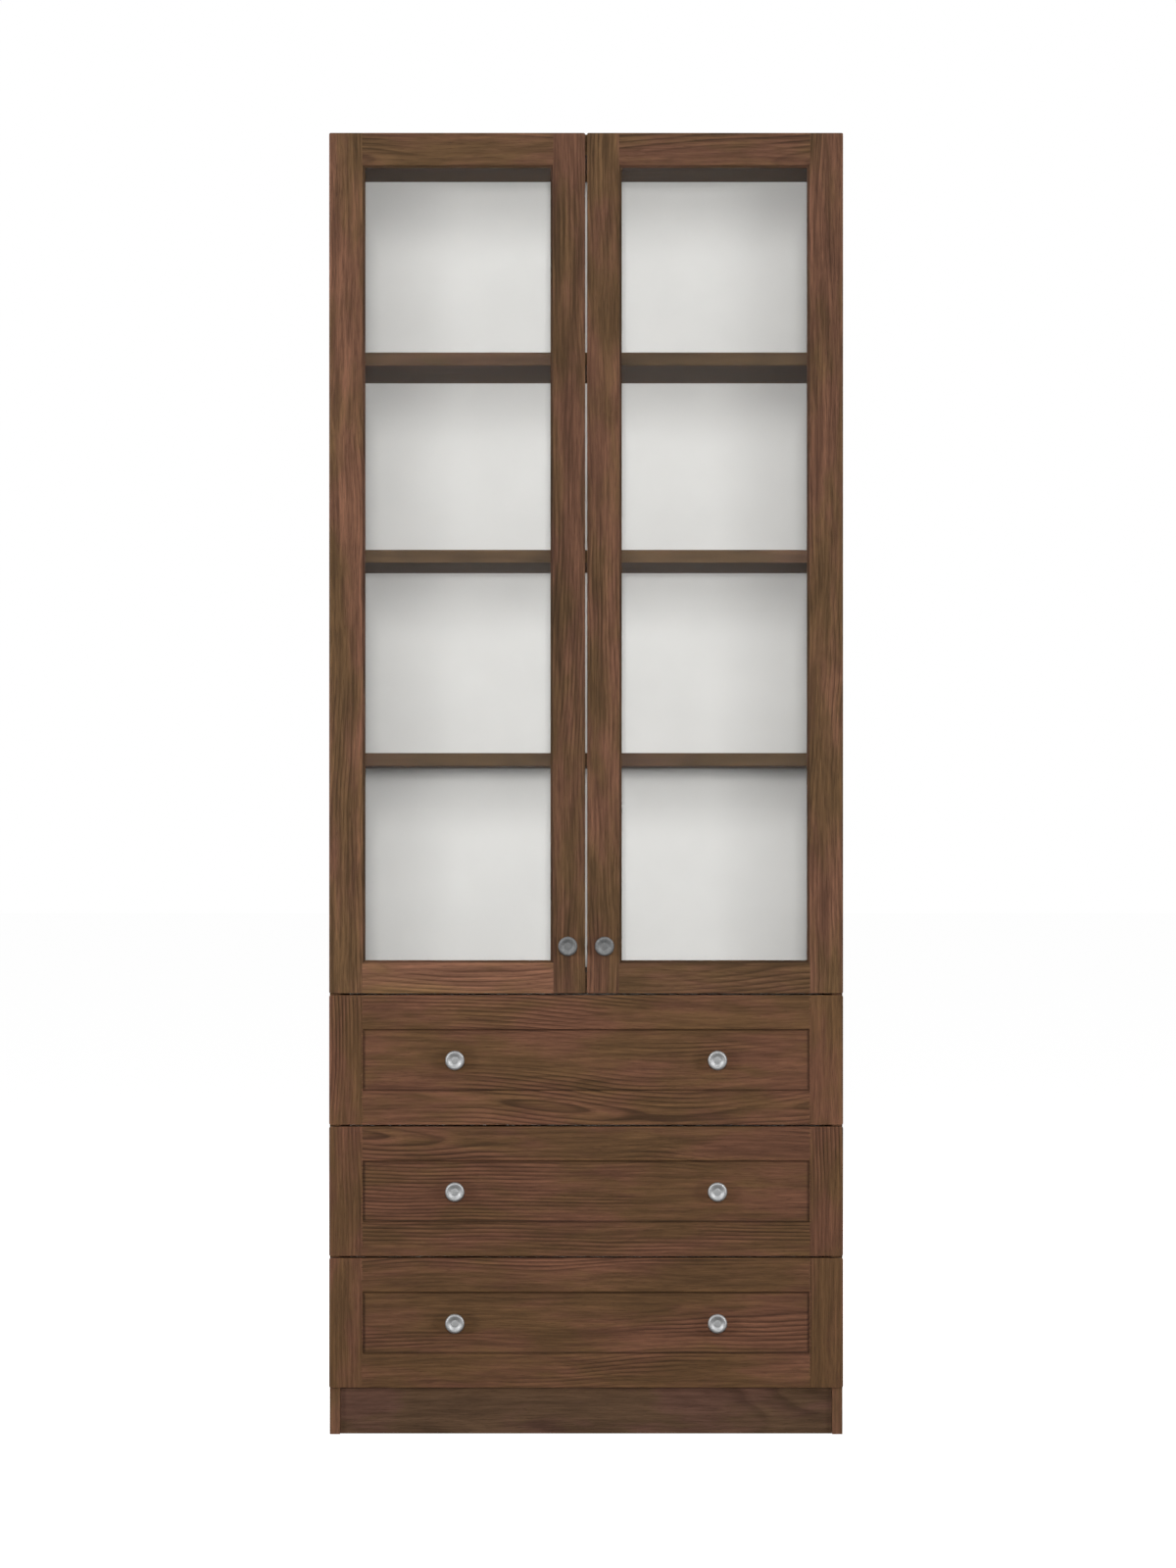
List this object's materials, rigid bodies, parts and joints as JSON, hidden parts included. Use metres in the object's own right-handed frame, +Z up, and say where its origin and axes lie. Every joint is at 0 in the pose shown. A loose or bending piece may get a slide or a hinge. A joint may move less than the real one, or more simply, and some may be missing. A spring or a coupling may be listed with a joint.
{
  "type": "glazed bookcase",
  "caption": "Tall wood-effect bookcase with framed glass doors over shelves and recessed-panel drawers below, on a set-back plinth.",
  "frame": {"origin": "on the floor, under the middle of the bounding box, knobs included", "axes": "+Z up, +X to the right as seen from the front, +Y towards the back; the doors and drawers face -Y"},
  "size_m": [0.8, 0.4262, 2.028],
  "materials": {
    "walnut_veneer": "satin walnut wood effect with dark open grain",
    "white_back": "white satin lacquered hardboard",
    "clear_glass": "clear float glass",
    "satin_nickel": "satin nickel with a lightly mottled face",
    "hinge_steel": "bright nickel-plated pressed steel",
    "drawer_birch": "pale birch effect, satin",
    "runner_plastic": "brown moulded plastic"
  },
  "bodies": {
    "carcass": {"side_panel_left": "walnut_veneer", "side_panel_right": "walnut_veneer", "bottom_board": "walnut_veneer", "deck_board": "walnut_veneer", "top_board": "walnut_veneer", "plinth_front": "walnut_veneer", "plinth_rear": "walnut_veneer", "back_panel_lower": "white_back", "back_panel_upper": "white_back", "shelf_1": "walnut_veneer", "shelf_2": "walnut_veneer", "shelf_3": "walnut_veneer", "hinge_arm_left_1": "hinge_steel", "hinge_arm_left_2": "hinge_steel", "hinge_arm_left_3": "hinge_steel", "hinge_arm_right_1": "hinge_steel", "hinge_arm_right_2": "hinge_steel", "hinge_arm_right_3": "hinge_steel", "drawer_1_runner_left": "runner_plastic", "drawer_1_runner_right": "runner_plastic", "drawer_2_runner_left": "runner_plastic", "drawer_2_runner_right": "runner_plastic", "drawer_3_runner_left": "runner_plastic", "drawer_3_runner_right": "runner_plastic"},
    "door_left": {"door_left_hinge_stile": "walnut_veneer", "door_left_lock_stile": "walnut_veneer", "door_left_top_rail": "walnut_veneer", "door_left_bottom_rail": "walnut_veneer", "door_left_glass": "clear_glass", "door_left_knob": "satin_nickel", "hinge_cup_left_1": "hinge_steel", "hinge_cup_left_2": "hinge_steel", "hinge_cup_left_3": "hinge_steel"},
    "door_right": {"door_right_hinge_stile": "walnut_veneer", "door_right_lock_stile": "walnut_veneer", "door_right_top_rail": "walnut_veneer", "door_right_bottom_rail": "walnut_veneer", "door_right_glass": "clear_glass", "door_right_knob": "satin_nickel", "hinge_cup_right_1": "hinge_steel", "hinge_cup_right_2": "hinge_steel", "hinge_cup_right_3": "hinge_steel"},
    "drawer_1": {"drawer_1_front": "walnut_veneer", "drawer_1_box": "drawer_birch", "drawer_1_bottom": "drawer_birch", "drawer_1_knob_left": "satin_nickel", "drawer_1_knob_right": "satin_nickel"},
    "drawer_2": {"drawer_2_front": "walnut_veneer", "drawer_2_box": "drawer_birch", "drawer_2_bottom": "drawer_birch", "drawer_2_knob_left": "satin_nickel", "drawer_2_knob_right": "satin_nickel"},
    "drawer_3": {"drawer_3_front": "walnut_veneer", "drawer_3_box": "drawer_birch", "drawer_3_bottom": "drawer_birch", "drawer_3_knob_left": "satin_nickel", "drawer_3_knob_right": "satin_nickel"}
  },
  "joints": [
    {"name": "door_left_hinge", "type": "hinge", "parent": "carcass", "child": "door_left", "pos_m": [-0.396, -0.18285, 1.35825], "axis": [0, 0, -1], "range_deg": [0, 110]},
    {"name": "door_right_hinge", "type": "hinge", "parent": "carcass", "child": "door_right", "pos_m": [0.396, -0.18285, 1.35825], "axis": [0, 0, 1], "range_deg": [0, 110]},
    {"name": "drawer_1_slide", "type": "slide", "parent": "carcass", "child": "drawer_1", "axis": [0, -1, 0], "range_m": [0, 0.28]},
    {"name": "drawer_2_slide", "type": "slide", "parent": "carcass", "child": "drawer_2", "axis": [0, -1, 0], "range_m": [0, 0.28]},
    {"name": "drawer_3_slide", "type": "slide", "parent": "carcass", "child": "drawer_3", "axis": [0, -1, 0], "range_m": [0, 0.28]}
  ]
}
